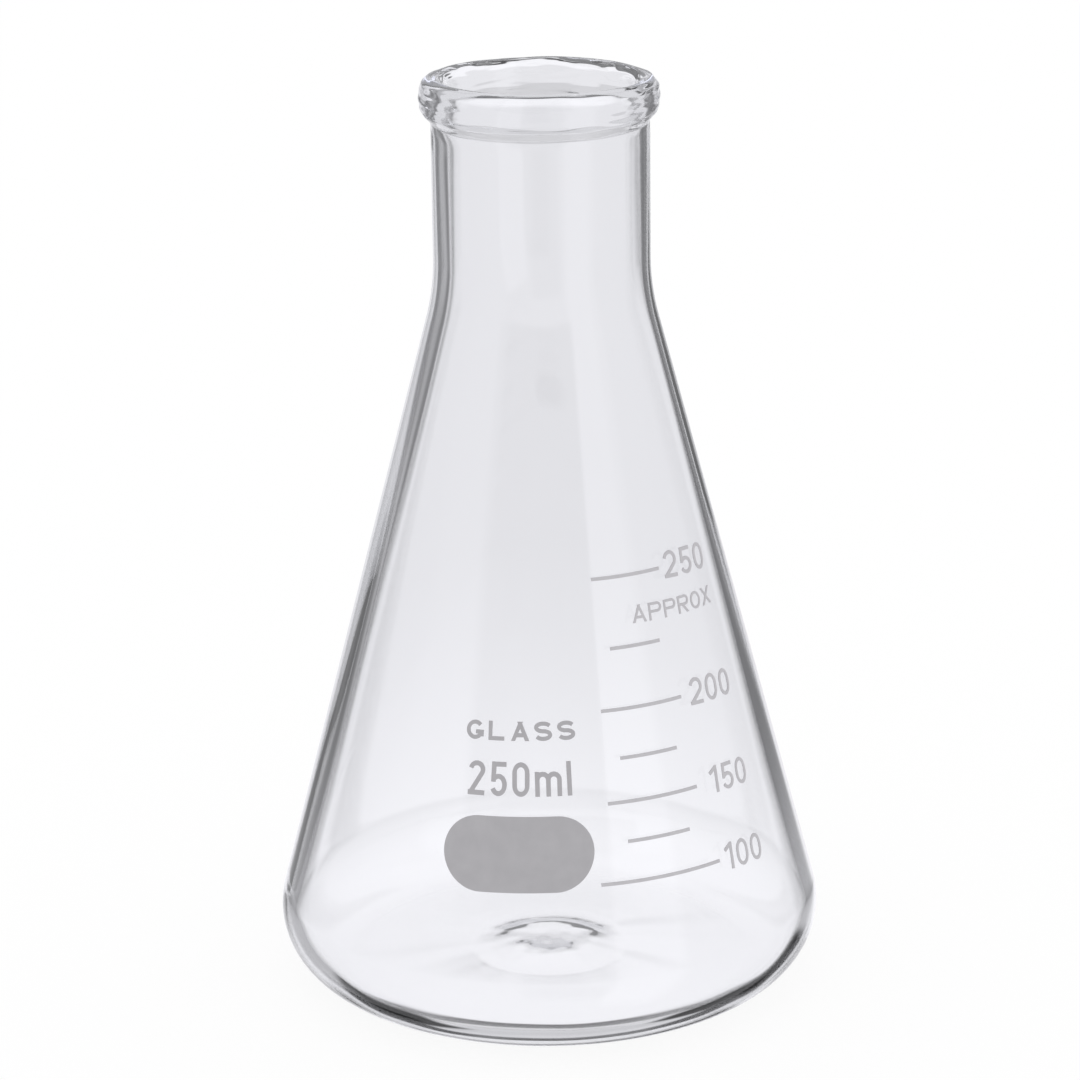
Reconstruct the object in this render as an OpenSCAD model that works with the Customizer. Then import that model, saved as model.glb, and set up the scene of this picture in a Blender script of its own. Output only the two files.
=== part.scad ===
// Conical laboratory flask, 250 ml, narrow neck with a beaded rim.
// One blown glass body, with grey enamel marks fired on its outside.
// Millimetres. +Z is up, z = 0 is the surface that the flask stands on, and the
// axis of the flask is the Z axis. The write-on patch faces -Y, a little to -X.
// Azimuths are in degrees from -Y, positive towards +X.

/* [Body] */
// Largest outside diameter, at the heel
body_d = 85.4; // [80:0.1:90]
// Height from the table to the top of the rim
height = 143.7; // [138:0.1:150]
// Outside radius of the rounded heel
heel_r = 11; // [8:0.5:14]
// Radius of the hollow outside curve between the cone and the neck
shoulder_r = 37; // [20:1:50]

/* [Neck and rim] */
// Outside diameter of the straight neck
neck_d = 33.2; // [30:0.2:36]
// Height at which the neck becomes straight
neck_from = 116; // [108:0.5:124]
// How far the bead stands out from the neck
bead_out = 1.7; // [1:0.1:3]
// Height of the bead
bead_h = 5.9; // [5:0.1:8]
// How far the mouth widens over the rounded lip
lip_flare = 1.9; // [0.5:0.1:2.2]
// Depth of the rounded lip inside the mouth
lip_depth = 2; // [1:0.1:2.5]

/* [Glass thickness] */
// Wall of the neck
neck_wall = 2.2; // [1.8:0.1:2.8]
// Wall at the heel
heel_wall = 2.2; // [1.6:0.1:3.5]
// Floor at its centre
floor_wall = 2.8; // [2:0.1:4.5]

/* [Base] */
// Inside diameter of the flat ring that the flask stands on
ring_d = 57; // [50:1:60]
// Height of the hollow under the base at the edge of its central dome
hollow_h = 0.8; // [0.3:0.1:1.2]
// Diameter of the central dome
dome_d = 25; // [16:1:32]
// Further rise of the central dome
dome_h = 1.2; // [0.5:0.1:1.6]
// Width of the steep edge of the dome, on the underside
dome_edge = 9; // [3:0.5:10]

/* [Heights of the scale lines] */
// Line at 250 ml
line_250_z = 72.4; // [70:0.1:76]
// Line at 225 ml
line_225_z = 62.1; // [60.5:0.1:63]
// Line at 200 ml
line_200_z = 53.2; // [51:0.1:55.5]
// Line at 175 ml
line_175_z = 46.1; // [44:0.1:48]
// Line at 150 ml
line_150_z = 39.7; // [38:0.1:42]
// Line at 125 ml
line_125_z = 33.9; // [32.5:0.1:35.5]
// Line at 100 ml
line_100_z = 28; // [26:0.1:30]

/* [Scale] */
// Azimuth of the middle of the lines
scale_azimuth = 27; // [25:1:34]
// Azimuth of the middle of the numbers
number_azimuth = 52; // [50:1:60]
// Width of a printed line
line_w = 0.5; // [0.3:0.05:0.8]
// Height of a scale number
number_h = 4; // [3:0.1:4.5]
// Width of a digit on the scale
number_w = 2.7; // [1.8:0.1:2.8]
// Slant of the scale numbers, positive where their right end is higher
number_slant = -4; // [-6:0.5:3]

/* [Capacity and patch] */
// Azimuth of the middle of the patch and the marks above it
front_azimuth = -7.2; // [-12:0.1:-5]
// Slant of the patch and the marks above it, positive where their right end is higher
front_slant = 1.1; // [-3:0.1:3]
// Height of the middle of the write-on patch
patch_z = 32.7; // [30:0.1:34]
// Length of the write-on patch
patch_w = 22.8; // [18:0.2:24]
// Height of the write-on patch
patch_h = 11.1; // [8:0.1:12]
// Height of the capacity digits
capacity_h = 5; // [4:0.1:5.4]
// Thickness of the fired enamel
enamel_t = 0.08; // [0.05:0.01:0.15]

/* [Hidden] */
$fn = 128;

// Derived sizes of the glass
neck_r = neck_d / 2;
bore_r = neck_r - neck_wall;
crest_r = bore_r + lip_flare;
bead_half = bead_h / 2;
bead_reach = neck_r + bead_out - crest_r;
bead_start = -acos((neck_r - crest_r) / bead_reach);
heel_c = [body_d / 2 - heel_r, heel_r];
ring_r = min(ring_d / 2, heel_c.x);
dome_r = dome_d / 2;
shoulder_c = [neck_r + shoulder_r, neck_from];
arc_step = 5;
shoulder_steps = 8;
floor_steps = 30;

// Direction of the side's outward normal, for a straight side that touches the
// heel circle of radius low_r and the shoulder circle of radius high_r
function side_normal(low_r, high_r) = let (d = shoulder_c - heel_c)
    atan2(d.y, d.x) - acos((low_r + high_r) / norm(d));
side_a = side_normal(heel_r, shoulder_r);
bore_a = side_normal(heel_r - heel_wall, shoulder_r + neck_wall);

// Radius of the straight side at height z
side_foot = heel_c + heel_r * [cos(side_a), sin(side_a)];
function side_r(z) = side_foot.x - (z - side_foot.y) * tan(side_a);

// Points of an arc about c, of half-widths r.x and r.y, from angle a0 to a1
function arc(c, r, a0, a1, steps) = [for (i = [0:steps]) let (a = a0 + (a1 - a0) * i / steps)
    [c.x + r.x * cos(a), c.y + r.y * sin(a)]];

// Smooth rise from 0 to 1
function ease(t) = let (u = min(max(t, 0), 1)) u * u * (3 - 2 * u);

// Height of the hollow under the base at radius r, without its dome
function hollow_z(r) = hollow_h * ease((ring_r - r) / (ring_r - dome_r));

// Height of the underside above the table, at radius r
function underside(r) = hollow_z(r) + dome_h * ease((dome_r - r) / dome_edge);

// Height of the inner floor above the table, at radius r
function floor_z(r) = hollow_z(r) + dome_h * ease((dome_r - r) / dome_r)
    + heel_wall + (floor_wall - heel_wall) * ease(1 - r / ring_r);

// Half section of the glass, from the centre of the base up the outside,
// over the rim and down the inside
function glass_outline() = concat(
    [for (i = [0:floor_steps]) let (r = ring_r * i / floor_steps) [r, underside(r)]],
    arc(heel_c, [heel_r, heel_r], -90, side_a, round((90 + side_a) / arc_step)),
    arc(shoulder_c, [-shoulder_r, -shoulder_r], side_a, 0, shoulder_steps),
    arc([crest_r, height - bead_half], [bead_reach, bead_half], bead_start, 90, 24),
    arc([crest_r, height - lip_depth], [-lip_flare, lip_depth], 85, 0, 8),
    arc(shoulder_c, -[1, 1] * (shoulder_r + neck_wall), 0, bore_a, shoulder_steps),
    arc(heel_c, [1, 1] * (heel_r - heel_wall), bore_a, -90, round((90 + bore_a) / arc_step)),
    [for (i = [floor_steps:-1:0]) let (r = ring_r * i / floor_steps) [r, floor_z(r)]]
);

module glass_body() {
    color([0.86, 0.89, 0.92, 0.45])
        rotate_extrude()
            polygon(glass_outline());
}

// --- Enamel film on the cone ---

line_half_a = 12.4;
short_line_half_a = 8.2;
lowest_line_half_a = 15.3;
number_stroke = 0.54;
number_shift = 0.03;
digit_gap = 0.8;
capacity_w = 2.6;
capacity_stroke = 0.7;
capacity_z = 43.7;
glass_mark_h = 2.8;
glass_mark_w = 2.7;
glass_mark_gap = 0.75;
glass_mark_stroke = 0.58;
glass_mark_z = 50.7;
approx_h = 2.6;
approx_w = 2.4;
approx_gap = 0.48;
approx_stroke = 0.38;
approx_drop = 6.1;
approx_slant = -2;
approx_azimuth = 44;
number_drop = 0.1;
film_t = enamel_t / cos(side_a);
reach = 3;

// Section of the film between heights z0 and z1
module film_section(z0, z1) {
    polygon([[side_r(z0), z0], [side_r(z0) + film_t, z0], [side_r(z1) + film_t, z1], [side_r(z1), z1]]);
}

// Prints a flat shape on the cone, with the shape's origin at the given azimuth
// and height. The shape is projected level, so its heights stay true.
module print_on(azimuth, z) {
    rotate([0, 0, azimuth])
        translate([0, reach - side_r(z), z])
            rotate([90, 0, 0])
                linear_extrude(2 * reach)
                    children();
}

// A stroke of width s with square ends
module bar(a, b, s) {
    translate(a)
        rotate(atan2(b.y - a.y, b.x - a.x))
            translate([0, -s / 2])
                square([norm(b - a), s]);
}

// Sideways step of length d from point i of a path
function side_step(p, i, d) = let (a = p[max(i - 1, 0)], b = p[min(i + 1, len(p) - 1)])
    d * [a.y - b.y, b.x - a.x] / norm(b - a);

// A stroke of width s along a smooth path
module ribbon(p, s) {
    last = len(p) - 1;
    left = [for (i = [0:last]) p[i] + side_step(p, i, s / 2)];
    right = [for (i = [last:-1:0]) p[i] - side_step(p, i, s / 2)];
    polygon(concat(left, right));
}

// Closed outline with rounded ends, w by h, its lower left corner at the origin
module slug(w, h) {
    r = [w / 2, min(h / 2, 0.62 * w)];
    polygon(concat(arc([w / 2, h - r.y], r, 0, 180, 12), arc([w / 2, r.y], r, 180, 360, 12)));
}

// Each glyph is w wide and h high, with strokes of width s, and its lower left
// corner is at the origin.

module glyph_0(w, h, s) {
    difference() {
        slug(w, h);
        translate([s, s])
            slug(w - 2 * s, h - 2 * s);
    }
}

// Trims slanted strokes flush with the glyph's box
module in_box(w, h) {
    intersection() {
        square([w, h]);
        children();
    }
}

module glyph_1(w, h, s) {
    in_box(w, h) {
        bar([0.8 * w, 0], [0.8 * w, h], s);
        bar([0.8 * w, h - 0.4 * s], [0.1 * w, 0.73 * h], s);
    }
}

module glyph_2(w, h, s) {
    r = (w - s) / 2;
    ribbon(concat(arc([w / 2, h - s / 2 - r], [r, r], 168, -32, 12), [[0.7 * s, 0.7 * s]]), s);
    bar([0, s / 2], [w, s / 2], s);
}

module glyph_5(w, h, s) {
    r = [(w - s) / 2, (0.65 * h - s) / 2];
    bowl = arc([w / 2, s / 2 + r.y], r, 145, -155, 16);
    ribbon(bowl, s);
    bar(bowl[0] - [0, 0.4 * s], [0.1 * w + s / 2, h - s / 2], s);
    bar([0.1 * w, h - s / 2], [0.95 * w, h - s / 2], s);
}

module glyph_m(w, h, s) {
    x_height = 0.72 * h;
    r = (w - s) / 4;
    spring = x_height - s / 2 - r;
    bar([s / 2, 0], [s / 2, x_height], s);
    for (i = [0:1]) {
        left = s / 2 + 2 * r * i;
        ribbon(concat(arc([left + r, spring], [r, r], 180, 0, 10), [[left + 2 * r, 0]]), s);
    }
}

module glyph_l(w, h, s) {
    bar([w / 2, 0], [w / 2, h], s);
}

module glyph_A(w, h, s) {
    in_box(w, h)
        for (foot = [s / 2, w - s / 2]) {
            top = [w / 2, h - s / 2];
            slope = (top - [foot, 0]) / h;
            bar([foot, 0] - s * slope, top + s * slope, s);
        }
    bar([0.2 * w, 0.3 * h], [0.8 * w, 0.3 * h], s);
}

module glyph_P(w, h, s) {
    r = (0.58 * h - s) / 2;
    bend = arc([w - s / 2 - r, h - s / 2 - r], [r, r], 90, -90, 10);
    bar([s / 2, 0], [s / 2, h], s);
    ribbon(concat([[s / 2, h - s / 2]], bend, [[s / 2, h - s / 2 - 2 * r]]), s);
}

module glyph_R(w, h, s) {
    glyph_P(w, h, s);
    in_box(w, h)
        bar([0.42 * w, 0.48 * h], [w - s / 4, -s], s);
}

module glyph_X(w, h, s) {
    in_box(w, h)
        for (side = [-1, 1]) {
            half = [side * (w - s) / 2, h / 2] * 1.2;
            bar([w, h] / 2 - half, [w, h] / 2 + half, s);
        }
}

module glyph_G(w, h, s) {
    r = [(w - s) / 2, (h - s) / 2];
    ribbon(arc([w / 2, h / 2], r, 40, 325, 20), s);
    bar([w - s / 2, 0.16 * h], [w - s / 2, 0.5 * h], s);
    bar([0.55 * w, 0.5 * h - s / 2], [w, 0.5 * h - s / 2], s);
}

module glyph_L(w, h, s) {
    bar([s / 2, 0], [s / 2, h], s);
    bar([0, s / 2], [0.9 * w, s / 2], s);
}

module glyph_S(w, h, s) {
    r = [(w - s) / 2, (h - s) / 4];
    top = arc([w / 2, h - s / 2 - r.y], r, 25, 270, 14);
    low = arc([w / 2, s / 2 + r.y], r, 76, -155, 14);
    ribbon(concat(top, low), s);
}

module glyph(c, w, h, s) {
    if (c == "0" || c == "O") glyph_0(w, h, s);
    if (c == "1") glyph_1(w, h, s);
    if (c == "2") glyph_2(w, h, s);
    if (c == "5") glyph_5(w, h, s);
    if (c == "m") glyph_m(w, h, s);
    if (c == "l") glyph_l(w, h, s);
    if (c == "A") glyph_A(w, h, s);
    if (c == "P") glyph_P(w, h, s);
    if (c == "R") glyph_R(w, h, s);
    if (c == "X") glyph_X(w, h, s);
    if (c == "G") glyph_G(w, h, s);
    if (c == "L") glyph_L(w, h, s);
    if (c == "S") glyph_S(w, h, s);
}

// Width of a character, where a digit is w wide
function glyph_w(c, w) = w * (c == "1" ? 0.72 : c == "m" ? 1.55 : c == "l" ? 0.25 : 1);

// Distance from the start of a word to the start of its character i
function word_x(word, i, w, gap) = i == 0 ? 0 : word_x(word, i - 1, w, gap) + glyph_w(word[i - 1], w) + gap;

// A word round the cone, its middle at the given azimuth and height
module lettering(word, azimuth, z, w, h, s, gap, slant = 0) {
    count = len(word);
    middle = (word_x(word, count, w, gap) - gap) / 2;
    degrees_per_mm = 180 / (PI * side_r(z));
    intersection() {
        rotate_extrude()
            film_section(z - h, z + h);
        for (i = [0:count - 1]) {
            own_w = glyph_w(word[i], w);
            x = word_x(word, i, w, gap) + own_w / 2 - middle;
            print_on(azimuth + x * degrees_per_mm, z + x * tan(slant))
                rotate(slant)
                    translate([-own_w / 2, -h / 2])
                        glyph(word[i], own_w, h, s);
        }
    }
}

// A line round the cone
module scale_line(z, half_a) {
    color([0.74, 0.74, 0.76])
        rotate([0, 0, scale_azimuth - half_a - 90])
            rotate_extrude(angle = 2 * half_a)
                film_section(z - line_w / 2, z + line_w / 2);
}

// A scale number. The numbers step a little towards the lines on the way down.
module scale_number(word, z) {
    azimuth = number_azimuth - number_shift * (line_250_z - z);
    color([0.72, 0.72, 0.74])
        lettering(word, azimuth, z - number_drop,
            number_w, number_h, number_stroke, digit_gap, number_slant);
}

module line_250() {
    scale_line(line_250_z, line_half_a);
}

module line_225() {
    scale_line(line_225_z, short_line_half_a);
}

module line_200() {
    scale_line(line_200_z, line_half_a);
}

module line_175() {
    scale_line(line_175_z, short_line_half_a);
}

module line_150() {
    scale_line(line_150_z, line_half_a);
}

module line_125() {
    scale_line(line_125_z, short_line_half_a);
}

module line_100() {
    scale_line(line_100_z, lowest_line_half_a);
}

module number_250() {
    scale_number("250", line_250_z);
}

module number_200() {
    scale_number("200", line_200_z);
}

module number_150() {
    scale_number("150", line_150_z);
}

module number_100() {
    scale_number("100", line_100_z);
}

module approx_mark() {
    color([0.74, 0.74, 0.76])
        lettering("APPROX", approx_azimuth, line_250_z - approx_drop,
            approx_w, approx_h, approx_stroke, approx_gap, approx_slant);
}

module glass_mark() {
    color([0.68, 0.68, 0.7])
        lettering("GLASS", front_azimuth, glass_mark_z,
            glass_mark_w, glass_mark_h, glass_mark_stroke, glass_mark_gap, front_slant);
}

module capacity_mark() {
    color([0.68, 0.68, 0.7])
        lettering("250ml", front_azimuth, capacity_z,
            capacity_w, capacity_h, capacity_stroke, digit_gap, front_slant);
}

// The patch for pencil notes, with round ends
module write_on_patch() {
    color("darkgray")
        intersection() {
            rotate_extrude()
                film_section(patch_z - patch_h, patch_z + patch_h);
            print_on(front_azimuth, patch_z)
                rotate(front_slant) {
                    square([patch_w - patch_h, patch_h], center = true);
                    for (side = [-1, 1])
                        translate([side * (patch_w - patch_h) / 2, 0])
                            circle(d = patch_h);
                }
        }
}

glass_body();
write_on_patch();
capacity_mark();
glass_mark();
approx_mark();
line_250();
line_225();
line_200();
line_175();
line_150();
line_125();
line_100();
number_250();
number_200();
number_150();
number_100();
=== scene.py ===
"""Looks for the 250 ml conical flask: blown glass, fired enamel marks, studio and camera.

Everything is in metres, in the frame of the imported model: +Z up, the flask's axis on Z,
its base on z = 0 and its write-on patch towards -Y.
"""
import math

import bpy
import numpy as np
from mathutils import Matrix, Vector


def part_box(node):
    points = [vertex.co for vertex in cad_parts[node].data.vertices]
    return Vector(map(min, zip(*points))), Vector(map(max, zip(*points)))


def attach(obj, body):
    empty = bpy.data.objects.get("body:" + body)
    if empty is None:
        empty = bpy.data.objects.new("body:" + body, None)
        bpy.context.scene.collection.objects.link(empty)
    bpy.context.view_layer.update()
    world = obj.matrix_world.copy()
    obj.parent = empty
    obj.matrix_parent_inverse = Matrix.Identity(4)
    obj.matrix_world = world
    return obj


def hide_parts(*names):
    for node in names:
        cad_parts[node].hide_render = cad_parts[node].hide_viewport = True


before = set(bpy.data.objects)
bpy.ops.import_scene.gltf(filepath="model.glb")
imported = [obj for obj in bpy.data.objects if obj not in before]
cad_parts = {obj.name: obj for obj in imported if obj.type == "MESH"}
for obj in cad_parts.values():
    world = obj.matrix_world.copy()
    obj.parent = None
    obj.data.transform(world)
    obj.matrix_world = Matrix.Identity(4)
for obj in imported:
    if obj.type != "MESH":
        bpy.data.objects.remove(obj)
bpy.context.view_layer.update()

MM = 0.001

# ---------------------------------------------------------------- sizes of the glass

glass_low, glass_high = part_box("glass_body")
HEIGHT = glass_high.z
BODY_R = (glass_high.y - glass_low.y) / 2
HEEL_R = 11 * MM
SHOULDER_R = 37 * MM
NECK_R = 16.6 * MM
NECK_FROM = 116 * MM
NECK_WALL = 2.2 * MM
HEEL_WALL = 2.2 * MM
FLOOR_WALL = 2.8 * MM
BORE_R = NECK_R - NECK_WALL
CREST_R = BORE_R + 1.9 * MM
LIP_DEPTH = 1.8 * MM
BEAD_HALF = 2.95 * MM
BEAD_REACH = 2 * MM
BEAD_FULL = 2.5         # 2 is an ellipse, and more is squarer
BEAD_TUCK = math.radians(-35)   # the bead's arc starts here, under its widest place
UNDER_BEAD = 1.1 * MM   # height of the curve from the neck to the bead
LIP_START = math.radians(80)    # the lip's arc starts here, so that it shares no point with the bead
RING_R = 28.5 * MM
DOME_R = 12.5 * MM
DOME_EDGE = 9 * MM
HOLLOW_H = 0.8 * MM
DOME_H = 1.2 * MM

AROUND = 288            # vertices round the glass
STEP = 0.7 * MM         # spacing of the vertices along the walls
FINE_STEP = 0.16 * MM   # spacing round the bead, the lip and the heel
SKIN = 0.02 * MM        # how far the glass stays inside the enamel
DOME_RINGS = 54         # rings of vertices in the dome of the base
HOLLOW_RINGS = 20       # rings between the dome and the ring that it stands on
DOME_MARGIN = 1 * MM    # the close rings reach this far past the dome


# ---------------------------------------------------------------- the glass outline

def side_normal(low_r, high_r):
    """Direction of the outward normal of a straight side that touches both circles."""
    across = SHOULDER_C - HEEL_C
    return math.atan2(across[1], across[0]) - math.acos((low_r + high_r) / np.linalg.norm(across))


def arc(centre, half_w, half_h, start, end, step, full=2):
    """Points along an arc, from angle start to angle end, in radians. More than 2 makes it fuller."""
    count = max(2, round(abs(end - start) * max(abs(half_w), abs(half_h)) / step))
    a = np.linspace(start, end, count + 1)
    x, y = (np.sign(v) * np.abs(v) ** (2 / full) for v in (np.cos(a), np.sin(a)))
    return np.c_[centre[0] + half_w * x, centre[1] + half_h * y]


def straight(start, end, step):
    """Points between two points, without the two ends."""
    count = max(2, round(np.linalg.norm(end - start) / step))
    return start + (end - start) * np.linspace(0, 1, count + 1)[1:-1, None]


def bridge(start, start_way, end, end_way, count=10):
    """A smooth curve between two points, without its ends, that leaves and arrives along the two ways."""
    t = np.linspace(0, 1, count + 1)[1:-1, None]
    pull = np.linalg.norm(end - start) / 3
    a, b = start + start_way * pull, end - end_way * pull
    return (1 - t) ** 3 * start + 3 * (1 - t) ** 2 * t * a + 3 * (1 - t) * t ** 2 * b + t ** 3 * end


def ease(t):
    """A smooth rise from 0 to 1."""
    t = np.clip(t, 0, 1)
    return t * t * (3 - 2 * t)


def hollow(r):
    """Height of the hollow base above the table, without its dome."""
    return HOLLOW_H * ease((RING_R - r) / (RING_R - DOME_R))


def underside(r):
    """Height of the underside above the table."""
    return hollow(r) + DOME_H * ease((DOME_R - r) / DOME_EDGE)


def floor_top(r):
    """Height of the inner floor above the table."""
    dome = DOME_H * ease((DOME_R - r) / DOME_R)
    return hollow(r) + dome + HEEL_WALL + (FLOOR_WALL - HEEL_WALL) * ease(1 - r / RING_R)


HEEL_C = np.array([BODY_R - HEEL_R, HEEL_R])
SHOULDER_C = np.array([NECK_R + SHOULDER_R, NECK_FROM])


def base_radii():
    """Radii of the rings of vertices in the base, close together in its dome."""
    edge = DOME_R + DOME_MARGIN
    return np.r_[np.linspace(0, edge, DOME_RINGS)[:-1], np.linspace(edge, RING_R, HOLLOW_RINGS)]


def outside_points():
    """The outside, from the centre of the base to the crest of the rim."""
    side = side_normal(HEEL_R, SHOULDER_R)
    r = base_radii()
    base = np.c_[r, underside(r)]
    heel = arc(HEEL_C, HEEL_R, HEEL_R, -math.pi / 2, side, FINE_STEP * 1.5)
    shoulder = arc(SHOULDER_C, -SHOULDER_R, -SHOULDER_R, side, 0, STEP)
    bead_c = np.array([CREST_R, HEIGHT - BEAD_HALF])
    bead = arc(bead_c, BEAD_REACH, BEAD_HALF, BEAD_TUCK, math.pi / 2, FINE_STEP, BEAD_FULL)
    neck_top = np.array([NECK_R, HEIGHT - 2 * BEAD_HALF - UNDER_BEAD])
    bead_way = bead[1] - bead[0]
    under_bead = bridge(neck_top, np.array([0, 1]), bead[0], bead_way / np.linalg.norm(bead_way))
    return np.vstack([base, heel, straight(heel[-1], shoulder[0], STEP), shoulder,
                      straight(shoulder[-1], neck_top, STEP), neck_top[None], under_bead, bead])


def inside_points():
    """The inside, from just past the crest of the rim to the centre of the floor."""
    low, high = HEEL_R - HEEL_WALL, SHOULDER_R + NECK_WALL
    side = side_normal(low, high)
    lip = arc([CREST_R, HEIGHT - LIP_DEPTH], BORE_R - CREST_R, LIP_DEPTH, LIP_START, 0, FINE_STEP)
    shoulder = arc(SHOULDER_C, -high, -high, 0, side, STEP)
    heel = arc(HEEL_C, low, low, side, -math.pi / 2, FINE_STEP * 1.5)
    r = base_radii()[::-1]
    floor = np.c_[r, floor_top(r)]
    return np.vstack([lip, straight(lip[-1], shoulder[0], STEP), shoulder,
                      straight(shoulder[-1], heel[0], STEP), heel, floor])


# ---------------------------------------------------------------- hand-made unevenness

# Ripples in blown glass: waves round the axis, waves per mm along the outline, size in mm, start
RIM_RIPPLES = ((2, 0.02, 0.08, 0.4), (3, -0.03, 0.05, 2.1), (5, -0.33, 0.036, 5.0), (4, 0.62, 0.028, 0.0),
               (9, 0.45, 0.034, 1.9), (7, -0.8, 0.026, 4.0), (12, 0.95, 0.018, 2.2), (15, -0.6, 0.016, 0.6))
WALL_RIPPLES = ((3, 0.002, 0.060, 1.0), (5, -0.003, 0.045, 3.9), (8, 0.004, 0.030, 0.7),
                (13, 0.006, 0.014, 5.1), (21, -0.008, 0.006, 2.2))
RIM_FROM = HEIGHT - 8.5 * MM    # the ripples of the rim fade in over this height
RIM_FADE = 3.5 * MM
RIM_LEAN = 0.27 * MM            # the rim is this much fuller on one side, and thinner on the other
RIM_LEAN_TURN = 3.49
SIDE_TURN = 0.2                 # the ripples of the rim are strong at its sides, this far off the X axis
LEAST_RIPPLE = 0.15             # share of them that is left in the middle of the front
BACK_RIPPLE = 0.7               # share of them round the back
WALL_FADE_R = 20 * MM           # the ripples of the wall fade out inside this radius, on the floor
OFF_CENTRE = 0.15 * MM          # the bore lies this far towards +X, so the wall is thicker at -X
CENTRED_DEPTH = 4 * MM          # down to here below the rim, the bore is centred
CENTRED_FADE = 8 * MM
CENTRED_R = 10 * MM             # the floor is centred inside this radius
SCAR_R = 5.8 * MM               # ring where the glass was held, in the middle of the base
SCAR_H = 0.04 * MM
SCAR_W = 1.2 * MM
SCAR_ROUGH = 0.16               # how rough its middle is, as a share of its height
# Waves round the scar: count, share of its size, start. The first table moves it, and the second lifts it
SCAR_SHIFTS = ((3, 0.10, 1), (5, 0.05, 0))
SCAR_LIFTS = ((7, 0.45, 2), (11, 0.3, 0))
# Waves in the rough middle of the scar: direction in radians, waves per mm, start
SCAR_WAVES = ((0.3, 0.21, 1.0), (1.1, 0.33, 4.1), (2.0, 0.17, 2.2), (2.7, 0.41, 0.4), (0.8, 0.11, 5.3))


def ripples(table, turn, along):
    """Sum of ripples round the glass, in metres, at a distance along its outline."""
    total = 0
    for count, per_mm, size, start in table:
        total = total + size * MM * np.sin(count * turn + 2 * math.pi * per_mm * along / MM + start)
    return total


def waves(table, turn):
    """1 plus the sum of waves round the axis."""
    return 1 + sum(share * np.sin(count * turn + start) for count, share, start in table)


def scar(r, turn):
    """Height of the uneven ring, and of the rough middle inside it, on the underside."""
    ring_r = SCAR_R * waves(SCAR_SHIFTS, turn)
    ring = np.exp(-((r - ring_r) / SCAR_W) ** 2) * waves(SCAR_LIFTS, turn)
    x, y = r * np.cos(turn) / MM, r * np.sin(turn) / MM
    bumps = 0
    for way, per_mm, start in SCAR_WAVES:
        bumps = bumps + np.sin(2 * math.pi * per_mm * (x * math.cos(way) + y * math.sin(way)) + start)
    return SCAR_H * (ring + SCAR_ROUGH * bumps * ease((SCAR_R - r) / SCAR_W))


def uneven(points, outer_count, turn):
    """Turns the outline round the axis with hand-made ripples, and returns radii and heights. The first
    outer_count points are the outside."""
    steps = np.linalg.norm(np.diff(points, axis=0), axis=1)
    along = np.r_[0, np.cumsum(steps)][:, None]
    way = np.gradient(points, axis=0)
    way /= np.linalg.norm(way, axis=1)[:, None]
    out_r, out_z = way[:, 1][:, None], -way[:, 0][:, None]
    r, z = points[:, 0][:, None], points[:, 1][:, None]
    outside = (np.arange(len(points)) < outer_count)[:, None]
    near_rim = ease((z - RIM_FROM) / RIM_FADE)
    sides = LEAST_RIPPLE + (1 - LEAST_RIPPLE) * np.cos(turn + SIDE_TURN) ** 2
    grip = np.maximum(sides, BACK_RIPPLE * ease(0.5 + 2 * np.sin(turn)))
    lean = RIM_LEAN * np.sin(turn + RIM_LEAN_TURN)
    rim = (ripples(RIM_RIPPLES, turn, along) * grip + lean) * near_rim
    wall = ripples(WALL_RIPPLES, turn, along) * (1 - near_rim) * ease(r / WALL_FADE_R) * ~outside
    grow = rim + wall
    base = scar(r, turn) * (outside & (r < DOME_R) & (z < HEEL_R))
    return r + grow * out_r, z + grow * out_z + base


def add_mesh(name, verts, faces):
    """A smooth mesh object in the scene."""
    mesh = bpy.data.meshes.new(name)
    mesh.from_pydata(verts.tolist(), [], faces)
    mesh.validate()
    mesh.shade_smooth()
    obj = bpy.data.objects.new(name, mesh)
    bpy.context.scene.collection.objects.link(obj)
    return obj


def blown_glass():
    """The whole vessel as one closed mesh."""
    outer, inner = outside_points(), inside_points()
    outer[:, 0] -= SKIN * ease(outer[:, 0] / RING_R)
    points = np.vstack([outer, inner])
    turn = np.linspace(0, 2 * math.pi, AROUND, endpoint=False)[None, :]
    r, z = uneven(points, len(outer), turn)
    shift = np.where(np.arange(len(points)) < len(outer), 0, 1)[:, None]
    shift = shift * OFF_CENTRE * ease((HEIGHT - CENTRED_DEPTH - points[:, 1][:, None]) / CENTRED_FADE)
    shift = shift * ease(points[:, 0][:, None] / CENTRED_R)
    grid = np.stack([r * np.cos(turn) + shift, r * np.sin(turn), z + 0 * turn], axis=2)
    rows = grid[1:-1].reshape(-1, 3)
    verts = np.vstack([rows, [[0, 0, points[0, 1]]], [[0, 0, points[-1, 1]]]])
    under, top = len(rows), len(rows) + 1
    last = len(points) - 3
    faces = []
    for i in range(last):
        for j in range(AROUND):
            k = (j + 1) % AROUND
            faces.append((i * AROUND + j, i * AROUND + k, (i + 1) * AROUND + k, (i + 1) * AROUND + j))
    for j in range(AROUND):
        k = (j + 1) % AROUND
        faces.append((under, k, j))
        faces.append((top, last * AROUND + j, last * AROUND + k))
    return add_mesh("blown_glass", verts, faces)


# ---------------------------------------------------------------- materials

def new_material(name):
    """A new material, its nodes and its links."""
    material = bpy.data.materials.new(name)
    material.use_nodes = True
    return material, material.node_tree.nodes, material.node_tree.links


GLASS_IOR = 1.473       # of borosilicate
GLASS_TINT = (0.90, 0.905, 0.93, 1)
GLASS_DENSITY = 60      # with the tint, a millimetre of glass takes off about 0.5 % of the light
LAST_BOUNCE = 3.5       # the renderer follows 4 bounces inside the glass
WALL_GLOW = 22          # light per metre that the wall adds past them


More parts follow.
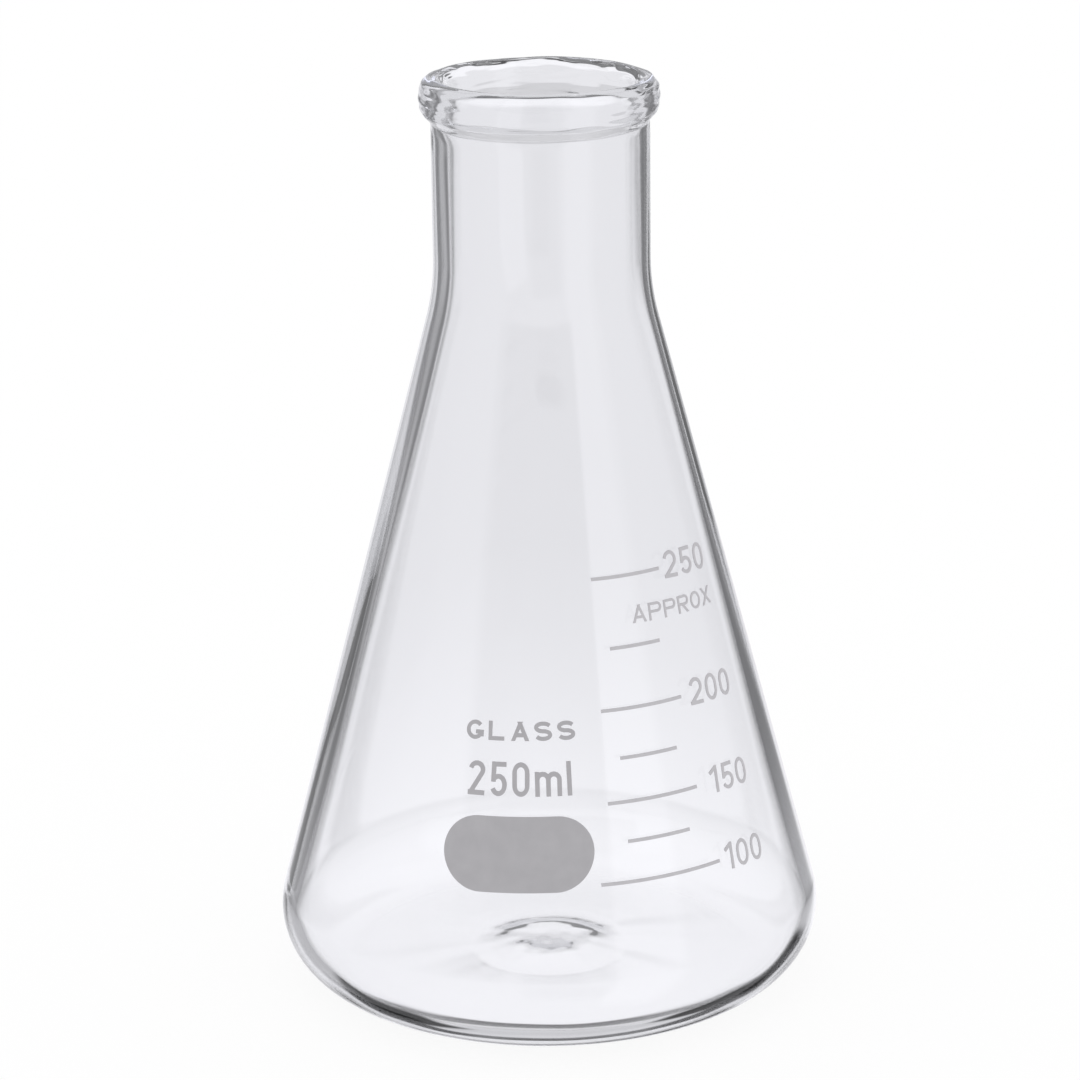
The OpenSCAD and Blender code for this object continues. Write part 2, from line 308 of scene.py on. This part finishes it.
def glass_material():
    """Clear borosilicate glass, a little grey in thick places. Light that the wall guides, from bounce to
    bounce down to the base, would be black past the renderer's last bounce: a faint glow stands for it."""
    material, nodes, links = new_material("borosilicate")
    shader = nodes["Principled BSDF"]
    shader.inputs["Base Color"].default_value = (1, 1, 1, 1)
    shader.inputs["Roughness"].default_value = 0
    shader.inputs["IOR"].default_value = GLASS_IOR
    shader.inputs["Transmission Weight"].default_value = 1
    depth = nodes.new("ShaderNodeVolumeAbsorption")
    depth.inputs["Color"].default_value = GLASS_TINT
    depth.inputs["Density"].default_value = GLASS_DENSITY
    path = nodes.new("ShaderNodeLightPath")
    late = nodes.new("ShaderNodeMath")
    late.operation = "GREATER_THAN"
    late.inputs[1].default_value = LAST_BOUNCE
    power = nodes.new("ShaderNodeMath")
    power.operation = "MULTIPLY"
    power.inputs[1].default_value = WALL_GLOW
    glow = nodes.new("ShaderNodeEmission")
    glow.inputs["Color"].default_value = (1, 1, 1, 1)
    inside = nodes.new("ShaderNodeAddShader")
    links.new(path.outputs["Glossy Depth"], late.inputs[0])
    links.new(late.outputs[0], power.inputs[0])
    links.new(power.outputs[0], glow.inputs["Strength"])
    links.new(depth.outputs["Volume"], inside.inputs[0])
    links.new(glow.outputs["Emission"], inside.inputs[1])
    links.new(inside.outputs[0], nodes["Material Output"].inputs["Volume"])
    return material


GRAIN_PER_M = 9000      # specks of the fired enamel
MOTTLE_PER_M = 450      # patches where it is a little thicker
GRAIN_SHARE = 0.35      # how much the grain changes its colour, beside the mottling
THIN_ENAMEL = (0.96, 0.94, 0.985)   # its colour as a share of its tone, and the noise at which it is that
THIN_AT = 0.35
THICK_ENAMEL = (1.05, 1.03, 1.075)
THICK_AT = 0.95
ENAMEL_BUMP = 0.02 * MM
ENAMEL_BUMP_SHARE = 0.15
ENAMEL_ROUGHNESS = 0.6


def enamel_material(name, tone):
    """Matt fired enamel of a grey tone, with a fine grain and a slight mottling from the screen."""
    material, nodes, links = new_material(name)
    shader = nodes["Principled BSDF"]
    place = nodes.new("ShaderNodeTexCoord")
    grain = nodes.new("ShaderNodeTexNoise")
    grain.inputs["Scale"].default_value = GRAIN_PER_M
    mottle = nodes.new("ShaderNodeTexNoise")
    mottle.inputs["Scale"].default_value = MOTTLE_PER_M
    both = nodes.new("ShaderNodeMath")
    both.operation = "MULTIPLY_ADD"
    both.inputs[1].default_value = GRAIN_SHARE
    colour = nodes.new("ShaderNodeValToRGB")
    thin, thick = colour.color_ramp.elements
    thin.position = THIN_AT
    thin.color = (*(tone * part for part in THIN_ENAMEL), 1)
    thick.position = THICK_AT
    thick.color = (*(tone * part for part in THICK_ENAMEL), 1)
    bump = nodes.new("ShaderNodeBump")
    bump.inputs["Strength"].default_value = ENAMEL_BUMP_SHARE
    bump.inputs["Distance"].default_value = ENAMEL_BUMP
    for noise in (grain, mottle):
        links.new(place.outputs["Object"], noise.inputs["Vector"])
    links.new(grain.outputs["Fac"], both.inputs[0])
    links.new(mottle.outputs["Fac"], both.inputs[2])
    links.new(both.outputs[0], colour.inputs["Fac"])
    links.new(colour.outputs["Color"], shader.inputs["Base Color"])
    links.new(grain.outputs["Fac"], bump.inputs["Height"])
    links.new(bump.outputs["Normal"], shader.inputs["Normal"])
    shader.inputs["Roughness"].default_value = ENAMEL_ROUGHNESS
    return material


glass = blown_glass()
glass.data.materials.append(glass_material())
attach(glass, "root")
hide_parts("glass_body")

PATCH_TONE = 0.40       # greys of the enamel. The thin lines and numbers of the scale are paler
MARK_TONE = 0.40
SCALE_TONE = 0.50
patch_enamel = enamel_material("enamel_patch", PATCH_TONE)
mark_enamel = enamel_material("enamel_mark", MARK_TONE)
scale_enamel = enamel_material("enamel_scale", SCALE_TONE)
for name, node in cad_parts.items():
    if name == "glass_body":
        continue
    node.data.materials.clear()
    if name == "write_on_patch":
        node.data.materials.append(patch_enamel)
    elif name in ("capacity_mark", "glass_mark"):
        node.data.materials.append(mark_enamel)
    else:
        node.data.materials.append(scale_enamel)


# ---------------------------------------------------------------- camera

CAMERA_AWAY = 0.600     # in front of the flask's axis
CAMERA_UP = 0.2599      # above the table
CAMERA_DOWN_TILT = math.radians(17.52)
CAMERA_TURN = math.radians(-0.077)
CAMERA_ROLL = math.radians(0.697)
LENS = 134.57           # mm
SENSOR = 36             # mm


def make_camera():
    """The camera, at the angle of the photograph."""
    data = bpy.data.cameras.new("camera")
    data.lens = LENS
    data.sensor_width = SENSOR
    camera = bpy.data.objects.new("camera", data)
    bpy.context.scene.collection.objects.link(camera)
    tilt, turn, roll = CAMERA_DOWN_TILT, CAMERA_TURN, CAMERA_ROLL
    ahead = Vector((math.sin(turn) * math.cos(tilt), math.cos(turn) * math.cos(tilt), -math.sin(tilt)))
    right = Vector((math.cos(turn), -math.sin(turn), 0))
    up = right.cross(ahead)
    rolled_right = right * math.cos(roll) - up * math.sin(roll)
    rolled_up = right * math.sin(roll) + up * math.cos(roll)
    turned = Matrix((rolled_right, rolled_up, -ahead)).transposed().to_4x4()
    camera.matrix_world = Matrix.Translation((0, -CAMERA_AWAY, CAMERA_UP)) @ turned
    bpy.context.scene.camera = camera
    return camera


# ---------------------------------------------------------------- studio

FLOOR_HALF = 4.0
FLOOR_GREY = 0.08       # what the floor gives back of the light on it, which makes its shadow faint
FLOOR_LIGHT = 0.92      # the floor's own light


def make_floor():
    """A plain pale floor that keeps only a faint shadow. The glass doesn't see it."""
    half = FLOOR_HALF
    corners = np.array([[-half, -half, 0], [half, -half, 0], [half, half, 0], [-half, half, 0]])
    floor = add_mesh("floor", corners, [(0, 1, 2, 3)])
    material, nodes, links = new_material("floor")
    shader = nodes["Principled BSDF"]
    shader.inputs["Base Color"].default_value = (FLOOR_GREY, FLOOR_GREY, FLOOR_GREY, 1)
    shader.inputs["Roughness"].default_value = 1
    shader.inputs["Specular IOR Level"].default_value = 0
    shader.inputs["Emission Color"].default_value = (1, 1, 1, 1)
    shader.inputs["Emission Strength"].default_value = FLOOR_LIGHT
    floor.data.materials.append(material)
    floor.visible_transmission = False
    floor.visible_glossy = False


def make_world():
    """Even white light from all round."""
    world = bpy.data.worlds.new("studio")
    world.use_nodes = True
    background = world.node_tree.nodes["Background"]
    background.inputs["Color"].default_value = (1, 1, 1, 1)
    background.inputs["Strength"].default_value = 1
    bpy.context.scene.world = world


TENT_R = 2.0
TENT_STEP = 1.5         # degrees between the tent's vertices
TENT_TOP = 88.5         # degrees up and down to which it reaches
TENT_TINT = (0.985, 0.985, 1.02)
TENT_LIGHT = 0.75       # where no card or lamp is

# Cards and lamps of the tent, in degrees from the camera's line of sight: to the right, and up. A side of
# 0 is straight behind the flask, and 180 is behind the camera. Each one covers what is listed before it:
# name, middle and half width, middle and half height, width of its soft edge, light
CARDS = (
    ("left base card", -33, 13, -14, 16, 6, 0.48),
    ("right base card", 34, 14, -14, 16, 6, 0.52),
    ("left card", -33, 13, 30, 31, 6, 0.19),
    ("right card", 34, 14, 31, 32, 6, 0.20),
    ("left strip", -35, 3, 29, 34, 4, 0.37),
    ("low screen", 0, 24, -50, 16, 4, 0.65),
    ("low card", 0, 28, -31, 6, 4, 0.05),
    ("low right card", 35, 11, -31, 20, 5, 0.015),
    ("low left card", -30, 15, -39, 13, 5, 0.015),
    ("top screen", 0, 24, 35, 25, 8, 0.68),
    ("back screen", 0, 20, 5, 12, 5, 0.84),
    ("low back screen", 0, 24, -13.5, 10.5, 8, 1.0),
    ("white table", 180, 62, -50, 41, 6, 0.75),
    ("right softbox", 136, 16, 0, 50, 3, 1.15),
    ("left softbox", -120, 18, 0, 50, 8, 0.80),
    ("dark room", 186.5, 35.5, 35, 44.5, 3, 0.25),
    ("camera stand", 173.5, 18.5, -31, 9, 4, 0.45),
)


def tent_light(side, rise):
    """Light of the tent, side degrees to the right of the line of sight and rise degrees above it."""
    light = TENT_LIGHT + 0 * side
    for _, middle, half_w, height, half_h, soft, level in CARDS:
        away = np.abs((side - middle + 180) % 360 - 180)
        inside = ease((half_w - away) / soft + 0.5) * ease((half_h - np.abs(rise - height)) / soft + 0.5)
        light = light + (level - light) * inside
    return light


def make_tent(camera):
    """A tent of light round the flask that only the glass sees. It is fixed to the camera, as the cards
    and lamps of a bright-field set are, so the glass has dark edges from every side."""
    side = np.radians(np.arange(-180, 180, TENT_STEP))
    rise = np.radians(np.arange(-TENT_TOP, TENT_TOP + TENT_STEP / 2, TENT_STEP))
    s, e = np.meshgrid(side, rise)
    ways = np.stack([np.sin(s) * np.cos(e), np.sin(e), -np.cos(s) * np.cos(e)], axis=2)
    verts = ways.reshape(-1, 3) * TENT_R
    wide, tall = len(side), len(rise)
    faces = [(i * wide + j, i * wide + (j + 1) % wide, (i + 1) * wide + (j + 1) % wide, (i + 1) * wide + j)
             for i in range(tall - 1) for j in range(wide)]
    tent = add_mesh("light_tent", verts, faces)
    light = tent_light(np.degrees(s), np.degrees(e)).reshape(-1, 1) * np.array([*TENT_TINT, 1.0])
    paint = tent.data.color_attributes.new("light", "FLOAT_COLOR", "POINT")
    paint.data.foreach_set("color", light.astype(np.float32).ravel())
    material, nodes, links = new_material("light_tent")
    nodes.remove(nodes["Principled BSDF"])
    attribute = nodes.new("ShaderNodeAttribute")
    attribute.attribute_name = "light"
    glow = nodes.new("ShaderNodeEmission")
    links.new(attribute.outputs["Color"], glow.inputs["Color"])
    links.new(glow.outputs["Emission"], nodes["Material Output"].inputs["Surface"])
    material.cycles.emission_sampling = "NONE"
    tent.data.materials.append(material)
    tent.visible_camera = False
    tent.visible_diffuse = False
    tent.visible_shadow = False
    tent.visible_volume_scatter = False
    tent.parent = camera
    tent.location = (0, 0, -math.hypot(CAMERA_AWAY, CAMERA_UP - HEIGHT / 2))


camera = make_camera()
make_floor()
make_world()
make_tent(camera)
bpy.context.scene.view_settings.view_transform = "Standard"
